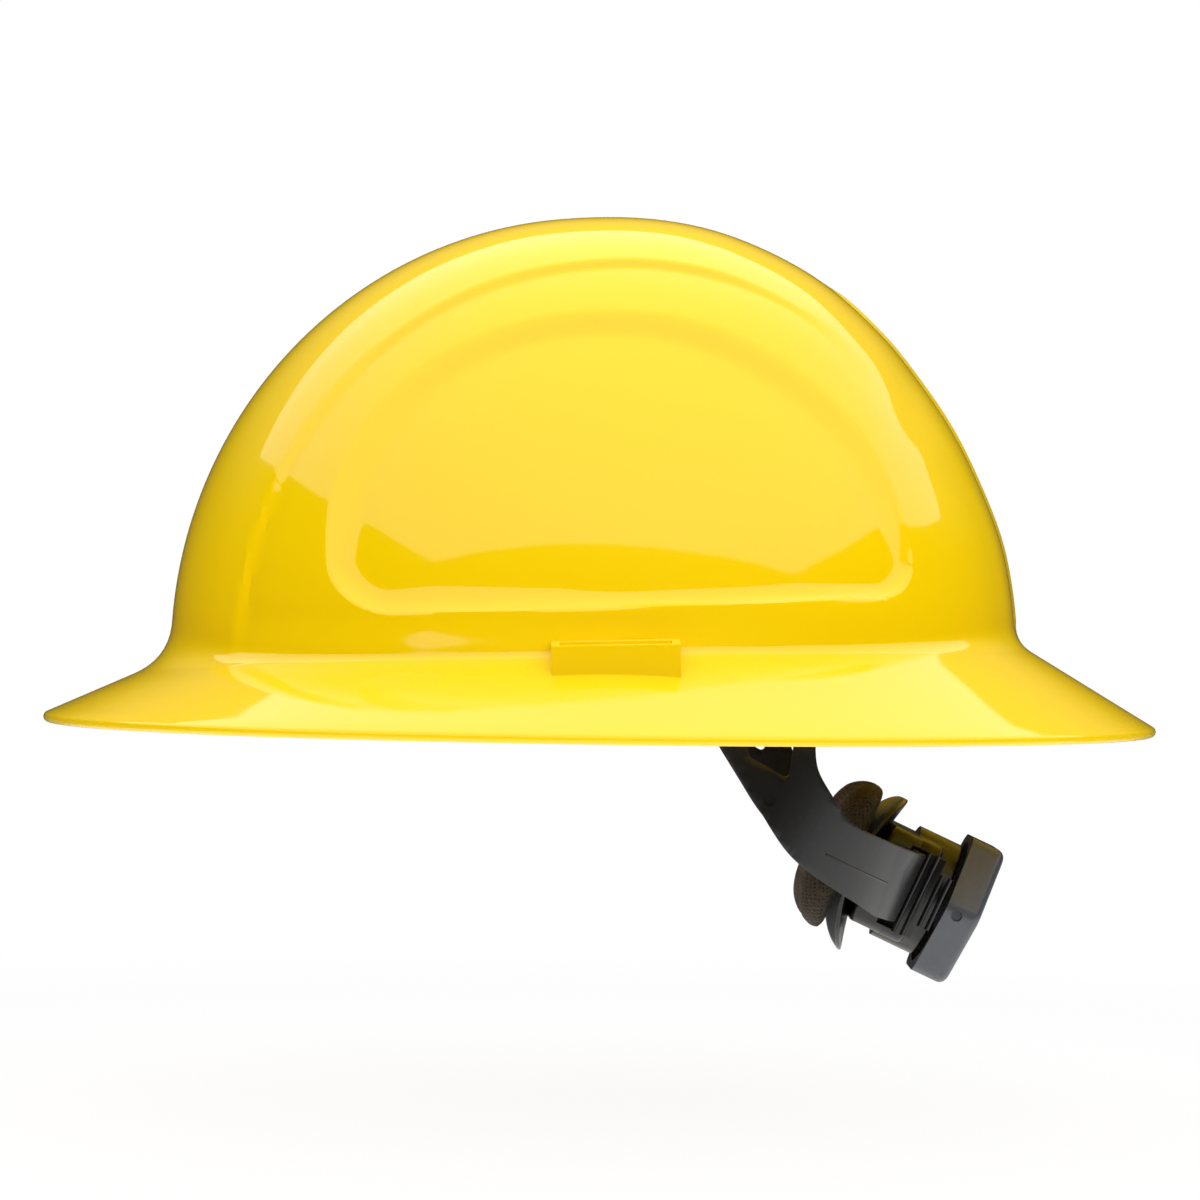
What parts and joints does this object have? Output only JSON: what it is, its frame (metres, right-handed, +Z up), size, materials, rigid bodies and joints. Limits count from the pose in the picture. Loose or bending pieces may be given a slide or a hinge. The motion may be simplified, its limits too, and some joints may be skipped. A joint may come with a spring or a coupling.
{
  "type": "full brim hard hat",
  "caption": "Full brim hard hat: domed shell with accessory slots, webbing suspension, padded headband and ratchet nape adjuster.",
  "frame": {"origin": "centre of the brim's rim, half-way up its edge", "axes": "+X to the front of the brim, +Y to the wearer's left, +Z up through the crown"},
  "size_m": [0.324, 0.278, 0.2214],
  "materials": {
    "shell_plastic": "glossy moulded",
    "suspension_plastic": "satin moulded",
    "knob_plastic": "fine moulded texture",
    "spring_plastic": "smooth moulded",
    "strap_webbing": "woven",
    "brow_fabric": "padded knit",
    "nape_mesh": "open mesh over foam",
    "screw_steel": "plated"
  },
  "bodies": {
    "shell": {"shell": "shell_plastic", "hanger_key_front_left": "suspension_plastic", "hanger_key_rear_left": "suspension_plastic", "hanger_key_rear_right": "suspension_plastic", "hanger_key_front_right": "suspension_plastic", "crown_strap_upper": "strap_webbing", "crown_strap_lower": "strap_webbing", "headband": "suspension_plastic", "brow_pad": "brow_fabric", "pivot_stud_left": "suspension_plastic", "pivot_stud_right": "suspension_plastic"},
    "nape_yoke": {"nape_arm_left": "suspension_plastic", "nape_arm_right": "suspension_plastic"},
    "ratchet": {"ratchet_housing_front": "suspension_plastic", "ratchet_housing_back": "suspension_plastic", "nape_pad_plate": "suspension_plastic", "nape_cushion": "nape_mesh"},
    "knob": {"ratchet_knob": "knob_plastic", "drive_pinion": "spring_plastic", "detent_spring": "spring_plastic", "knob_screw": "screw_steel"}
  },
  "joints": [
    {"name": "yoke_tilt", "type": "hinge", "parent": "shell", "child": "nape_yoke", "pos_m": [-0.02, 0, 0.013], "axis": [0, 1, 0], "range_deg": [-8, 10]},
    {"name": "size_slide", "type": "slide", "parent": "nape_yoke", "child": "ratchet", "axis": [-0.9085, 0, -0.4179], "range_m": [-0.009, 0.022], "deforming": ["nape_arm_left", "nape_arm_right"]},
    {"name": "knob_turn", "type": "hinge", "parent": "ratchet", "child": "knob", "pos_m": [-0.0873, 0, -0.0447], "axis": [-0.9085, 0, -0.4179], "range_deg": [-117, 282]}
  ],
  "couplings": [
    {"joint": "knob_turn", "follows": "size_slide", "rad_per_m": 222.22}
  ]
}
